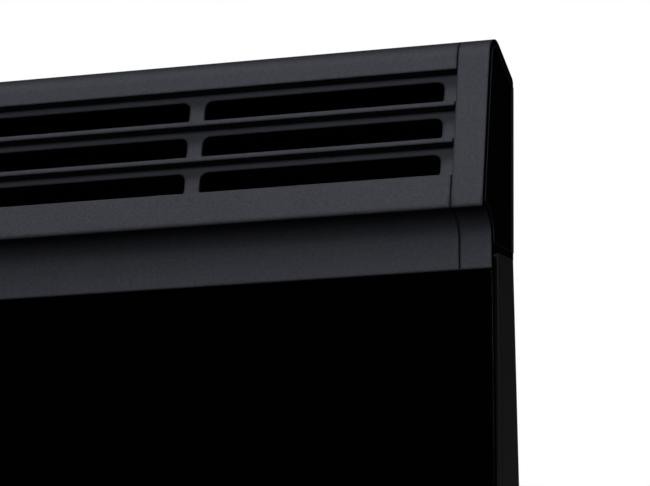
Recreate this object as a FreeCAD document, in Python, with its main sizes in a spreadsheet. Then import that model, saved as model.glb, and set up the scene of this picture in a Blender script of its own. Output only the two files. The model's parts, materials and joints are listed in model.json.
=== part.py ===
# Wall-hung electric panel heater: a black glass pane on a folded steel pan under an extruded outlet head.
# Frame: X to the viewer's right, Y into the wall, Z up; the origin is the centre of the wall screws.
import FreeCAD, Part
import math
import os
import Sketcher

doc = FreeCAD.newDocument("panel_heater")
sheet = doc.addObject("Spreadsheet::Sheet", "Dims")

SIZES = (
    # the whole heater
    ("overall_width", 665), ("lip_stand_off", 88), ("lip_height", 133), ("body_drop", 200),
    # outlet head, measured from the front edge of its lip
    ("visor_tilt", 10.2), ("visor_rise", 73), ("bottom_band", 12.7), ("row_opening", 13.1),
    ("blade_thick", 1.9), ("blade_depth", 5.6), ("row_count", 3), ("web_thick", 1.8), ("head_wall", 2),
    ("crown_radius", 8), ("crown_inner_radius", 6), ("roof_rear_rise", 55.5), ("roof_rear_depth", 40.5),
    ("rear_foot_depth", 38), ("rear_corner_radius", 2.5), ("head_drop", 15.7), ("lip_thick", 1),
    ("lip_radius", 0.6), ("cove_radius", 10), ("apron_depth", 10.7), ("apron_drop", 23), ("apron_thick", 2.2),
    ("slot_length", 99.2), ("slot_gap", 6.2), ("slot_count", 6), ("slot_foot", 0.5), ("slot_height", 10),
    ("slot_corner", 3.2),
    # end caps
    ("cap_width", 12.8), ("cap_gap", 0.5), ("cap_rim", 2.9), ("cap_rear_rim", 0.3), ("cap_recess", 0.8),
    ("cap_wall", 2), ("cap_lug_thick", 2.5), ("cap_lug_depth", 6), ("cap_lug_drop", 14),
    ("cap_spigot_reach", 16), ("cap_spigot_thick", 2), ("cap_spigot_low", 10), ("cap_spigot_high", 8),
    # pane and its bonding tape
    ("glass_depth", 13.8), ("glass_thick", 4), ("glass_lap", 6), ("glass_arris", 0.8), ("glass_corner", 2),
    ("tape_thick", 0.5), ("tape_width", 12), ("tape_inset", 1.5),
    # steel pan
    ("pan_sheet", 1), ("pan_bend", 1.8), ("pan_depth_top", 19.5), ("pan_depth_foot", 34.8),
    ("inlet_width", 10), ("inlet_depth", 18), ("inlet_spacing", 22), ("inlet_from_front", 4),
    ("inlet_margin", 40),
    # rear cover
    ("cover_sheet", 1), ("cover_flange", 9), ("cover_play", 0.2), ("window_width", 50), ("screw_margin", 47),
    ("screw_count", 4), ("screw_radius", 1.75), ("screw_head_size", 7), ("screw_head_thick", 2.4),
    ("screw_length", 9),
    # heating element and what holds it
    ("element_rise", 100), ("element_gap", 11.85), ("element_left_inset", 34.5),
    ("element_right_inset", 82.5), ("fin_reach", 8.5), ("fin_rise", 30), ("fin_thick", 1.6),
    ("fin_root_angle", 30), ("tube_radius", 6.5), ("rod_radius", 4.2), ("rod_overhang", 24),
    ("insulator_radius", 7), ("insulator_length", 14), ("insulator_gap", 2), ("plate_thick", 1.2),
    ("plate_depth", 24.5), ("plate_foot", 14), ("plate_reach", 50), ("shield_thick", 0.6),
    ("shield_reach", 48), ("cutout_offset", 114), ("cutout_arm", 20), ("cutout_arm_width", 24),
    ("cutout_above", 36), ("cutout_base_width", 16), ("cutout_base_thick", 1.5),
    ("cutout_body_radius", 7), ("cutout_body_rise", 7), ("tab_width", 6.3), ("tab_thick", 0.8),
    ("tab_rise", 8), ("tab_spacing", 8), ("terminal_width", 15), ("terminal_depth", 16),
    ("terminal_pole", 10), ("terminal_poles", 3), ("terminal_rise", 30), ("terminal_mouth", 4.4),
    ("terminal_step", 4),
    # controls in the right side
    ("control_set_back", 13.2), ("control_rise", 72), ("fascia_width", 20), ("fascia_length", 96),
    ("fascia_corner", 3), ("fascia_lip", 2.2), ("fascia_lip_thick", 1.8), ("fascia_play", 0.2),
    ("knob_inset", 26), ("knob_radius", 6.6), ("knob_skirt", 3.4), ("knob_edge", 0.6), ("knob_tall", 9),
    ("knob_gap", 0.4), ("grip_bar_width", 3.8), ("grip_bar_inset", 0.7), ("pointer_width", 1),
    ("pointer_sink", 0.5), ("pointer_start", 2.6), ("shaft_radius", 2.6), ("shaft_play", 0.06),
    ("shaft_inside", 8), ("shaft_in_knob", 3), ("shaft_flat", 1.9), ("bush_radius", 3.9),
    ("bush_rise", 1.6), ("nut_size", 10), ("nut_thick", 1.3), ("thermostat_deep", 20),
    ("thermostat_wide", 21), ("thermostat_tall", 26), ("switch_wide", 8.6), ("switch_tall", 13.4),
    ("switch_deep", 14), ("bezel_margin", 1), ("bezel_thick", 1.4), ("rocker_wide", 6.8),
    ("rocker_play", 0.1), ("rocker_swing", 5.6), ("rocker_cavity", 5.9), ("rocker_below", 3.2),
    ("rocker_end", 3.3), ("rocker_dip", 1.5), ("rocker_sink", 2), ("rocker_rest", 9), ("cavity_deep", 9),
    ("trunnion_radius", 1), ("trunnion_play", 0.05), ("trunnion_reach", 0.5), ("lens_inset", 9),
    ("lens_radius", 2.6), ("lens_collar", 3.6), ("lens_rise", 1.8), ("lens_length", 8),
    # cord inlet in the bottom
    ("gland_inset", 32.5), ("gland_depth", 15), ("gland_bore", 2.8), ("gland_barrel", 6),
    ("gland_collar_size", 18), ("gland_collar_thick", 3), ("gland_nose", 9), ("gland_inside", 9),
    ("gland_nut_size", 17), ("gland_nut_thick", 4),
    # wall bracket
    ("screw_span_x", 360), ("screw_span_z", 140), ("wall_hole", 2.75), ("leg_width", 44), ("leg_sheet", 2),
    ("leg_rise", 115), ("leg_tail", 14), ("leg_play", 4), ("hook_rise", 42), ("hook_arm", 8),
    ("hook_nose", 6), ("hook_nose_thick", 3), ("hook_play", 0.6), ("hook_entry", 9), ("rail_height", 46),
    ("rail_flange", 10),
    # catches at the top of the bracket
    ("catch_low", 66), ("catch_high", 92), ("catch_play", 0.3), ("catch_wall", 3), ("catch_nose_low", 72),
    ("catch_nose_high", 80), ("catch_barb", 5), ("catch_barb_thick", 4), ("catch_nose_width", 30),
    ("catch_window_play", 1), ("catch_travel", 7), ("rib_depth", 6), ("rib_tall", 14), ("rib_reach", 2),
    ("stem_width", 16), ("stem_thick", 4), ("stem_top", 142), ("grip_width", 24), ("grip_tall", 5),
    ("grip_depth", 12),
    # how far a cutter runs past the face that it opens, and how near a sought edge lies to its plane
    ("overrun", 2), ("edge_play", 0.02),
)


class Size:
    """A size of the sheet, or a sum of such sizes, with the expression that ties a feature to it."""

    def __init__(self, value, text):
        self.value = value
        self.text = text

    def joined(self, sign, other, value):
        return Size(value, "(%s %s %s)" % (self.text, sign, as_size(other).text))

    def __add__(self, other):
        return self.joined("+", other, self.value + as_size(other).value)

    def __sub__(self, other):
        return self.joined("-", other, self.value - as_size(other).value)

    def __mul__(self, other):
        return self.joined("*", other, self.value * as_size(other).value)

    def __truediv__(self, other):
        return self.joined("/", other, self.value / as_size(other).value)

    def __neg__(self):
        return Size(-self.value, "(-1 * %s)" % self.text)


def as_size(number):
    return number if isinstance(number, Size) else Size(number, repr(number))


def sine(angle):
    return Size(math.sin(math.radians(angle.value)), "sin(%s)" % angle.text)


def cosine(angle):
    return Size(math.cos(math.radians(angle.value)), "cos(%s)" % angle.text)


def whole_number(size):
    return Size(math.floor(size.value), "floor(%s)" % size.text)


class Dimensions:
    """The sheet's aliases as attributes."""


d = Dimensions()
for row, (alias, number) in enumerate(SIZES, 1):
    sheet.set("A%d" % row, alias)
    sheet.set("B%d" % row, str(number))
    sheet.setAlias("B%d" % row, alias)
    setattr(d, alias, Size(float(number), "Dims." + alias))
doc.recompute()
ZERO = as_size(0)
nodes = []


# Small tools that every piece shares


def bind(thing, **sizes):
    """Ties properties to sizes; a double underscore in a name stands for a dot."""
    for name, size in sizes.items():
        thing.setExpression(name.replace("__", "."), as_size(size).text)
    return thing


def place(thing, x=ZERO, y=ZERO, z=ZERO):
    return bind(thing, Placement__Base__x=x, Placement__Base__y=y, Placement__Base__z=z)


def keep(thing, label):
    thing.Label = label
    nodes.append(thing)
    return thing


def origin_plane(body, role):
    return next(item for item in body.Origin.OriginFeatures if item.Role == role)


def draw(sketch, corners):
    """A closed outline; a corner is (x, y) or (x, y, radius), and every corner is tied to the sheet."""
    spots = [FreeCAD.Vector(c[0].value, c[1].value, 0) for c in corners]
    count = len(corners)
    joints = []
    for n, corner in enumerate(corners):
        here, back, ahead = spots[n], spots[n - 1], spots[(n + 1) % count]
        if len(corner) == 2:
            joints.append((here, here, None))
            continue
        radius = corner[2].value
        to_back = (back - here).normalize()
        to_ahead = (ahead - here).normalize()
        half = to_back.getAngle(to_ahead) / 2
        middle = here + (to_back + to_ahead).normalize() * (radius / math.sin(half))
        reach = radius / math.tan(half)
        joints.append((here + to_back * reach, here + to_ahead * reach, (middle, radius)))
    for n in range(count):
        sketch.addGeometry(Part.LineSegment(joints[n][1], joints[(n + 1) % count][0]), False)
    for n, (start, end, arc) in enumerate(joints):
        before = (n - 1) % count
        if arc is None:
            sketch.addConstraint(Sketcher.Constraint("Coincident", before, 2, n, 1))
            point = (n, 1)
        else:
            middle, radius = arc
            first = math.atan2(start.y - middle.y, start.x - middle.x)
            last = math.atan2(end.y - middle.y, end.x - middle.x)
            left_turn = ((last - first) % (2 * math.pi)) < math.pi
            ends = (first, last) if left_turn else (last, first)
            circle = Part.Circle(middle, FreeCAD.Vector(0, 0, 1), radius)
            index = sketch.addGeometry(Part.ArcOfCircle(circle, *ends), False)
            near, far = (1, 2) if left_turn else (2, 1)
            sketch.addConstraint(Sketcher.Constraint("Tangent", before, 2, index, near))
            sketch.addConstraint(Sketcher.Constraint("Tangent", index, far, n, 1))
            tie = sketch.addConstraint(Sketcher.Constraint("Radius", index, radius))
            sketch.setExpression("Constraints[%d]" % tie, corners[n][2].text)
            spot = sketch.addGeometry(Part.Point(spots[n]), True)
            sketch.addConstraint(Sketcher.Constraint("PointOnObject", spot, 1, before))
            sketch.addConstraint(Sketcher.Constraint("PointOnObject", spot, 1, n))
            point = (spot, 1)
        for kind, size in (("DistanceX", corners[n][0]), ("DistanceY", corners[n][1])):
            tie = sketch.addConstraint(Sketcher.Constraint(kind, -1, 1, point[0], point[1], size.value))
            sketch.setExpression("Constraints[%d]" % tie, size.text)
    return sketch


def outline(body, role, corners, **offset):
    """An outline on one of the body's own planes; offset binds the sketch's AttachmentOffset."""
    sketch = body.newObject("Sketcher::SketchObject", body.Name + "_outline")
    sketch.AttachmentSupport = [(origin_plane(body, role), "")]
    sketch.MapMode = "FlatFace"
    bind(sketch, **{"AttachmentOffset__Base__" + axis: size for axis, size in offset.items()})
    return draw(sketch, corners)


def box_corners(low_x, high_x, low_y, high_y, *radius):
    return [(low_x, low_y, *radius), (high_x, low_y, *radius),
            (high_x, high_y, *radius), (low_x, high_y, *radius)]


def pad(body, sketch, length, both_ways=True):
    feature = body.newObject("PartDesign::Pad", body.Name + "_pad")
    feature.Profile = sketch
    feature.SideType = "Symmetric" if both_ways else "One side"
    bind(feature, Length=length)
    doc.recompute()
    return feature


def pocket(body, sketch, length, both_ways=True):
    before = body.Shape.Volume
    feature = body.newObject("PartDesign::Pocket", body.Name + "_pocket")
    feature.Profile = sketch
    feature.SideType = "Symmetric" if both_ways else "One side"
    bind(feature, Length=length)
    doc.recompute()
    if body.Shape.Volume >= before:
        raise RuntimeError(body.Name + ": a pocket cut nothing")
    return feature


def repeat(body, feature, sketch, axis, pitch, count):
    pattern = body.newObject("PartDesign::LinearPattern", body.Name + "_row")
    pattern.Originals = [feature]
    pattern.Direction = (sketch, [axis])
    pattern.Mode = "Spacing"
    bind(pattern, Offset=pitch, Occurrences=count)
    body.Tip = pattern
    doc.recompute()
    return pattern


def new_body(label):
    return doc.addObject("PartDesign::Body", label)


def turned(label, corners):
    """A piece turned about its own X axis; corners are (along, radius)."""
    body = new_body(label)
    sketch = outline(body, "XZ_Plane", corners)
    feature = body.newObject("PartDesign::Revolution", label + "_turn")
    feature.Profile = sketch
    feature.ReferenceAxis = (sketch, ["H_Axis"])
    doc.recompute()
    return body


def block(label, low_x, high_x, low_y, high_y, low_z, high_z):
    box = doc.addObject("Part::Box", label)
    bind(box, Length=high_x - low_x, Width=high_y - low_y, Height=high_z - low_z)
    return place(box, low_x, low_y, low_z)


ALONG = {
    "X": FreeCAD.Rotation(FreeCAD.Vector(0, 1, 0), 90),
    "Y": FreeCAD.Rotation(FreeCAD.Vector(-1, 0, 0), 90),
    "Z": FreeCAD.Rotation(),
}


def rod(label, axis, radius, length, x, y, z):
    """A round bar that starts at the given point and runs along a positive axis."""
    bar = doc.addObject("Part::Cylinder", label)
    bar.Placement = FreeCAD.Placement(FreeCAD.Vector(), ALONG[axis])
    bind(bar, Radius=radius, Height=length)
    return place(bar, x, y, z)


def fused(label, *shapes):
    union = doc.addObject("Part::MultiFuse", label)
    union.Shapes = list(shapes)
    return union


def group(label, *shapes):
    bundle = doc.addObject("Part::Compound", label)
    bundle.Links = list(shapes)
    return bundle


def cut(label, base, *tools):
    result = doc.addObject("Part::Cut", label)
    result.Base = base
    result.Tool = tools[0] if len(tools) == 1 else group(label + "_cutters", *tools)
    return result


def hexagon(label, size, length):
    prism = doc.addObject("Part::Prism", label)
    prism.Polygon = 6
    bind(prism, Circumradius=size / as_size(3 ** 0.5), Height=length)
    return prism


# Places that several pieces share

half_width = d.overall_width / 2
lip_y = -d.lip_stand_off
lip_z = d.lip_height
body_top = lip_z - d.head_drop
body_foot = -d.body_drop
glass_y = lip_y + d.glass_depth
pan_y = glass_y + d.glass_thick + d.tape_thick
pan_inner_y = pan_y + d.pan_sheet
pan_inner_x = half_width - d.pan_sheet
control_y = pan_inner_y + d.control_set_back
control_z = body_foot + d.control_rise
knob_z = control_z + d.fascia_length / 2 - d.knob_inset
lens_z = control_z - d.fascia_length / 2 + d.lens_inset
switch_z = (knob_z + lens_z) / 2
gland_x = half_width - d.gland_inset
gland_y = pan_inner_y + d.gland_depth
element_z = body_foot + d.element_rise
element_left = -half_width + d.element_left_inset
element_right = half_width - d.element_right_inset
hook_z = body_foot + d.hook_rise
hook_low = hook_z - d.hook_arm
fascia_back = pan_inner_x - d.fascia_lip_thick
back_slope = (d.pan_depth_foot - d.pan_depth_top) / (body_top - body_foot)


def back_y(height):
    """The sloping back of the body at a height."""
    return pan_y + d.pan_depth_top + back_slope * (body_top - height)


def on_visor(up, inward=ZERO):
    """A point up the leaning visor from the lip and square into it, as (Y, Z)."""
    return (lip_y + up * sine(d.visor_tilt) + inward * cosine(d.visor_tilt),
            lip_z + up * cosine(d.visor_tilt) - inward * sine(d.visor_tilt))


# Outlet head: one aluminium extrusion with two louvre blades in front of a slotted web

row_pitch = d.row_opening + d.blade_thick
rows_top = d.bottom_band + row_pitch * (d.row_count - 1) + d.row_opening
lip_corner = on_visor(-d.lip_thick / cosine(d.visor_tilt))
under_lip = lip_z - d.lip_thick
apron_y = lip_y + d.apron_depth
apron_back = apron_y + d.apron_thick
crown = on_visor(d.visor_rise)
roof_rear = (lip_y + d.roof_rear_depth, lip_z + d.roof_rear_rise)
rear_foot = (lip_y + d.rear_foot_depth, body_top)


def visor_face():
    """The stepped front of the extrusion, from the top band down to the bottom band."""
    steps = []
    for row in reversed(range(int(d.row_count.value))):
        low = d.bottom_band + row_pitch * row
        steps += [on_visor(low + d.row_opening), on_visor(low + d.row_opening, d.blade_depth)]
        steps += [on_visor(low, d.blade_depth), on_visor(low)]
    return steps


def head_section():
    web_back = d.blade_depth + d.web_thick
    shelf_top = rows_top + d.blade_thick
    shelf_low = d.bottom_band - d.blade_thick
    return [
        (*rear_foot,), (*roof_rear, d.rear_corner_radius), (*crown, d.crown_radius), *visor_face(),
        (*lip_corner, d.lip_radius), (apron_y, under_lip, d.cove_radius), (apron_y, lip_z - d.apron_drop),
        (apron_back, lip_z - d.apron_drop), (apron_back, under_lip + d.apron_thick, d.cove_radius),
        on_visor(d.lip_thick + d.apron_thick, d.head_wall), on_visor(shelf_low, d.head_wall),
        on_visor(shelf_low, web_back), on_visor(shelf_top, web_back), on_visor(shelf_top, d.head_wall),
        (*on_visor(d.visor_rise - d.head_wall, d.head_wall), d.crown_inner_radius),
        (roof_rear[0] - d.head_wall, roof_rear[1] - d.head_wall), (rear_foot[0] - d.head_wall, body_top),
    ]


def outlet_grille():
    body = new_body("outlet_grille")
    pad(body, outline(body, "YZ_Plane", head_section()), d.overall_width - d.cap_width * 2 - d.cap_gap)
    run = d.slot_length * d.slot_count + d.slot_gap * (d.slot_count - 1)
    low = d.bottom_band + d.slot_foot
    corners = box_corners(-run / 2, d.slot_length - run / 2, low, low + d.slot_height, d.slot_corner)
    sketch = outline(body, "XZ_Plane", corners, y=lip_z, z=-lip_y)
    sketch.AttachmentOffset = FreeCAD.Placement(
        sketch.AttachmentOffset.Base, FreeCAD.Rotation(FreeCAD.Vector(-1, 0, 0), d.visor_tilt.value))
    bind(sketch, AttachmentOffset__Rotation__Angle=d.visor_tilt)
    slot = pocket(body, sketch, d.blade_depth + d.web_thick + d.overrun, both_ways=False)
    rows = repeat(body, slot, sketch, "H_Axis", d.slot_length + d.slot_gap, d.slot_count)
    rows.Direction2 = (sketch, ["V_Axis"])
    rows.Mode2 = "Spacing"
    bind(rows, Offset2=row_pitch, Occurrences2=d.row_count)
    return keep(body, "outlet_grille")


# End caps: mouldings that close the head, with a flat side sunk inside a raised rim


def cap_sketch(label, corners):
    sketch = doc.addObject("Sketcher::SketchObject", label)
    sketch.Placement = FreeCAD.Placement(FreeCAD.Vector(), FreeCAD.Rotation(FreeCAD.Vector(1, 1, 1), 120))
    return draw(sketch, corners)


def extruded(label, profile, start, length):
    feature = doc.addObject("Part::Extrusion", label)
    feature.Base = profile
    feature.DirMode = "Custom"
    feature.Dir = FreeCAD.Vector(1, 0, 0)
    feature.Solid = True
    bind(feature, LengthFwd=length)
    return place(feature, x=start)


def inset(label, profile, wall):
    smaller = doc.addObject("Part::Offset2D", label)
    smaller.Source = profile
    smaller.Join = "Intersection"
    return bind(smaller, Value=-wall)


def end_caps():
    front = [(*roof_rear, d.rear_corner_radius), (*crown, d.crown_radius), (*lip_corner, d.lip_radius),
             (apron_y, under_lip, d.cove_radius)]
    whole = cap_sketch("cap_outline", [(*rear_foot,), *front, (apron_y, lip_z - d.apron_drop),
                                       (apron_back, lip_z - d.apron_drop), (apron_back, body_top)])
    side = cap_sketch("cap_side_outline", [(*rear_foot,), *front, (apron_y, body_top)])
    back = d.cap_rim - d.cap_rear_rim
    roof_fall = (crown[1] - roof_rear[1]) / (roof_rear[0] - crown[0])
    rear_top = (roof_rear[0] + back, roof_rear[1] - roof_fall * back, d.rear_corner_radius)
    longer = cap_sketch("cap_longer_outline", [(rear_foot[0] + back, body_top), rear_top, *front[1:],
                                               (apron_y, body_top)])
    inner_x = half_width - d.cap_width + d.cap_gap / 2
    floor_x = half_width - d.cap_recess
    shell = extruded("cap_shell", whole, inner_x, half_width - inner_x)
    recess = extruded("cap_recess_cut", inset("cap_recess_outline", longer, d.cap_rim), floor_x,
                      d.cap_recess + d.overrun)
    hollow = extruded("cap_hollow_cut", inset("cap_hollow_outline", side, d.cap_wall), inner_x - d.overrun,
                      floor_x - d.cap_wall - inner_x + d.overrun)
    lug_front = pan_inner_y + d.overrun
    lug = block("cap_lug", pan_inner_x - d.cap_lug_thick, pan_inner_x, lug_front, lug_front + d.cap_lug_depth,
                body_top - d.cap_lug_drop, body_top + d.cap_wall)
    spigot_y = rear_foot[0] - d.head_wall
    spigot = block("cap_spigot", inner_x - d.cap_spigot_reach, floor_x - d.cap_wall,
                   spigot_y - d.cap_spigot_thick, spigot_y,
                   lip_z - d.cap_spigot_low, lip_z + d.cap_spigot_high)
    right = fused("end_cap_right", cut("cap_moulding", shell, recess, hollow), lug, spigot)
    left = doc.addObject("Part::Mirroring", "end_cap_left")
    left.Source = right
    left.Normal = FreeCAD.Vector(1, 0, 0)
    keep(right, "end_cap_right")
    keep(left, "end_cap_left")


# Front pane and the tape that bonds it to the pan

glass_top = lip_z - d.apron_drop + d.glass_lap


def edges_where(shape, test):
    return ["Edge%d" % n for n, edge in enumerate(shape.Edges, 1) if test(edge)]


def front_glass():
    body = new_body("front_glass")
    corners = box_corners(-half_width, half_width, body_foot, glass_top, d.glass_corner)
    sketch = outline(body, "XZ_Plane", corners, z=-glass_y - d.glass_thick)
    feature = pad(body, sketch, d.glass_thick, both_ways=False)
    ends = (glass_y.value, (glass_y + d.glass_thick).value)
    rims = edges_where(feature.Shape, lambda e: min(abs(e.BoundBox.YMin - y) + abs(e.BoundBox.YMax - y)
                                                    for y in ends) < d.edge_play.value)
    arris = body.newObject("PartDesign::Chamfer", "front_glass_arris")
    arris.Base = (feature, rims)
    bind(arris, Size=d.glass_arris)
    return keep(body, "front_glass")


def glass_tape():
    low_y, high_y = glass_y + d.glass_thick, pan_y
    outer_x = half_width - d.tape_inset
    low_z, high_z = body_foot + d.tape_inset, glass_top - d.tape_inset
    inner_x = outer_x - d.tape_width
    strips = [
        block("tape_left", -outer_x, -inner_x, low_y, high_y, low_z, high_z),
        block("tape_right", inner_x, outer_x, low_y, high_y, low_z, high_z),
        block("tape_top", -inner_x, inner_x, low_y, high_y, high_z - d.tape_width, high_z),
        block("tape_bottom", -inner_x, inner_x, low_y, high_y, low_z, low_z + d.tape_width),
    ]
    return keep(group("glass_tape", *strips), "glass_tape")


# Steel pan: a tray folded from sheet, deeper at the foot, open at the back and top


def front_pan():
    body = new_body("pan_tray")
    whole = [(pan_y, body_foot, d.pan_bend), (back_y(body_foot), body_foot), (back_y(body_top), body_top),
             (pan_y, body_top)]
    feature = pad(body, outline(body, "YZ_Plane", whole), d.overall_width)
    front = edges_where(feature.Shape, lambda e: abs(e.BoundBox.YMax - pan_y.value) < d.edge_play.value
                        and e.BoundBox.XLength < d.edge_play.value)
    bend = body.newObject("PartDesign::Fillet", "front_pan_bend")
    bend.Base = (feature, front)
    bind(bend, Radius=d.pan_bend)
    doc.recompute()
    floor = body_foot + d.pan_sheet
    inside = [(pan_inner_y, floor), (back_y(body_foot) + d.overrun, floor),
              (back_y(body_foot) + d.overrun, body_top + d.overrun), (pan_inner_y, body_top + d.overrun)]
    pocket(body, outline(body, "YZ_Plane", inside), d.overall_width - d.pan_sheet * 2)
    first_x = -half_width + d.inlet_margin
    first_y = pan_inner_y + d.inlet_from_front
    inlet_run = gland_x - d.gland_collar_size / 2 - d.inlet_spacing - d.inlet_width - first_x
    corners = box_corners(first_x, first_x + d.inlet_width, first_y, first_y + d.inlet_depth)
    slot = outline(body, "XY_Plane", corners, z=body_foot)
    through = (d.pan_sheet + d.overrun) * 2
    cut_slot = pocket(body, slot, through)
    repeat(body, cut_slot, slot, "H_Axis", d.inlet_spacing, whole_number(inlet_run / d.inlet_spacing) + 1)
    window = outline(body, "YZ_Plane", box_corners(
        control_y - d.fascia_width / 2, control_y + d.fascia_width / 2,
        control_z - d.fascia_length / 2, control_z + d.fascia_length / 2, d.fascia_corner),
        z=half_width)
    pocket(body, window, through)
    hole = rod("gland_hole", "Z", d.gland_barrel, d.pan_sheet + d.overrun * 2,
               gland_x, gland_y, body_foot - d.overrun)
    holes = [rod("cover_screw_hole_%d" % n, "Z", d.screw_radius, d.pan_sheet + d.overrun * 2, x, screw_y,
                 body_foot - d.overrun) for n, x in enumerate(screw_places())]
    return keep(cut("front_pan_drilled", body, hole, *holes), "front_pan")


# Rear cover: a shallow sheet tray that closes the pan along its sloping back

screw_y = back_y(body_foot) - d.cover_flange / 2


def screw_places():
    count = int(d.screw_count.value)
    run = d.overall_width - d.screw_margin * 2
    return [run * (n / (count - 1) - 0.5) for n in range(count)]


def window_box(label, low_z, high_z, x, width):
    """A cutter through the sloping cover between two heights."""
    return block(label, x - width / 2, x + width / 2, back_y(high_z) - d.cover_sheet - d.overrun,
                 back_y(low_z) + d.overrun, low_z, high_z)


def rear_cover():
    body = new_body("cover_tray")
    floor = body_foot + d.pan_sheet
    flange = d.cover_flange
    whole = [(back_y(floor), floor), (back_y(body_top), body_top), (back_y(body_top) - flange, body_top),
             (back_y(floor) - flange, floor)]
    width = d.overall_width - d.pan_sheet * 2 - d.cover_play * 2
    pad(body, outline(body, "YZ_Plane", whole), width)
    sheet_in = d.cover_sheet
    low = floor + sheet_in
    inside = [(back_y(low) - sheet_in, low), (back_y(body_top + d.overrun) - sheet_in, body_top + d.overrun),
              (back_y(body_top) - flange - d.overrun, body_top + d.overrun),
              (back_y(low) - flange - d.overrun, low)]
    pocket(body, outline(body, "YZ_Plane", inside), width - sheet_in * 2)
    cutters = []
    for n, x in enumerate(leg_places()):
        cutters.append(window_box("hook_window_%d" % n, hook_low - d.hook_entry, hook_z, x, d.window_width))
        low_z = d.catch_nose_low - d.catch_travel - d.catch_window_play
        high_z = d.catch_nose_high + d.catch_window_play
        cutters.append(window_box("catch_window_%d" % n, low_z, high_z, x, d.window_width))
    lip_reach = d.fascia_lip + d.fascia_play
    cutters.append(block("fascia_notch", fascia_back - d.fascia_play, half_width, pan_y,
                         control_y + d.fascia_width / 2 + lip_reach,
                         control_z - d.fascia_length / 2 - lip_reach,
                         control_z + d.fascia_length / 2 + lip_reach))
    for n, x in enumerate(screw_places()):
        cutters.append(rod("cover_hole_%d" % n, "Z", d.screw_radius, d.cover_sheet + d.overrun * 2,
                           x, screw_y, floor - d.overrun))
    return keep(cut("rear_cover_cut", body, *cutters), "rear_cover")


def cover_screws():
    screws = []
    for n, x in enumerate(screw_places()):
        head_z = body_foot - d.screw_head_thick
        head = hexagon("cover_screw_head_%d" % n, d.screw_head_size, d.screw_head_thick)
        place(head, x, screw_y, head_z)
        shank = rod("cover_screw_shank_%d" % n, "Z", d.screw_radius, d.screw_head_thick + d.screw_length,
                    x, screw_y, head_z)
        screws.append(fused("cover_screw_%d" % n, head, shank))
    return keep(group("cover_screws_group", *screws), "cover_screws")


# Heating element: a steel-sheathed rod in a finned aluminium extrusion, on ceramic bushes between two plates

element_y = pan_inner_y + d.element_gap
left_plate_x = element_left - d.insulator_gap - d.insulator_length / 2
right_plate_x = element_right + d.insulator_gap + d.insulator_length / 2
plate_back = pan_inner_y + d.plate_depth


def element_fins():
    body = new_body("element_arms")
    length = element_right - element_left
    root = d.tube_radius * cosine(d.fin_root_angle)
    tip = d.fin_reach
    slim = d.fin_thick
    arm = [(ZERO, root - slim), (tip, d.fin_rise - slim), (tip, d.fin_rise), (tip - slim, d.fin_rise),
           (ZERO, root + slim)]
    pad(body, outline(body, "YZ_Plane", arm), length)
    first = body.Tip
    across = body.newObject("PartDesign::Mirrored", "element_fins_across")
    across.Originals = [first]
    across.MirrorPlane = (origin_plane(body, "XZ_Plane"), [""])
    body.Tip = across
    doc.recompute()
    return body


def element():
    fins = element_fins()
    middle_x = (element_left + element_right) / 2
    place(fins, middle_x, element_y, element_z)
    lower = doc.addObject("Part::Mirroring", "element_fins_lower")
    lower.Source = fins
    lower.Normal = FreeCAD.Vector(0, 0, 1)
    bind(lower, Base__z=element_z)
    tube = rod("element_tube", "X", d.tube_radius, element_right - element_left, element_left, element_y,
               element_z)
    core_left = element_left - d.rod_overhang
    core_length = element_right - element_left + d.rod_overhang * 2
    core = rod("element_rod", "X", d.rod_radius, core_length, core_left, element_y, element_z)
    keep(cut("element_fins_bored", fused("element_section", fins, lower, tube), core), "element_fins")
    keep(core, "element_rod")
    half = d.insulator_length / 2
    for side, plate_x in (("left", left_plate_x), ("right", right_plate_x)):
        sleeve = rod("insulator_sleeve_" + side, "X", d.insulator_radius, d.insulator_length, plate_x - half,
                     element_y, element_z)
        bore = rod("insulator_bore_" + side, "X", d.rod_radius, d.insulator_length + d.overrun * 2,
                   plate_x - half - d.overrun, element_y, element_z)
        keep(cut("insulator_bored_" + side, sleeve, bore), "element_insulator_" + side)


def end_plate(label, plate_x, way, low):
    """An upright plate whose foot is folded outwards against the pan."""
    ends = sorted((plate_x, plate_x + d.plate_thick * way), key=lambda size: size.value)
    foot = sorted((plate_x, plate_x + d.plate_foot * way), key=lambda size: size.value)
    high = element_z + d.plate_reach
    plate = fused(label + "_folded",
                  block(label + "_web", *ends, pan_inner_y, plate_back, low, high),
                  block(label + "_foot", *foot, pan_inner_y, pan_inner_y + d.plate_thick, low, high))
    hole = rod(label + "_hole", "X", d.insulator_radius, d.plate_thick + d.overrun * 2,
               ends[0] - d.overrun, element_y, element_z)
    return keep(cut(label + "_cut", plate, hole), label)


def heat_shield():
    shield = block("heat_shield_sheet", left_plate_x, right_plate_x, plate_back - d.shield_thick, plate_back,
                   element_z - d.shield_reach, element_z + d.shield_reach)
    return keep(shield, "heat_shield")


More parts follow.
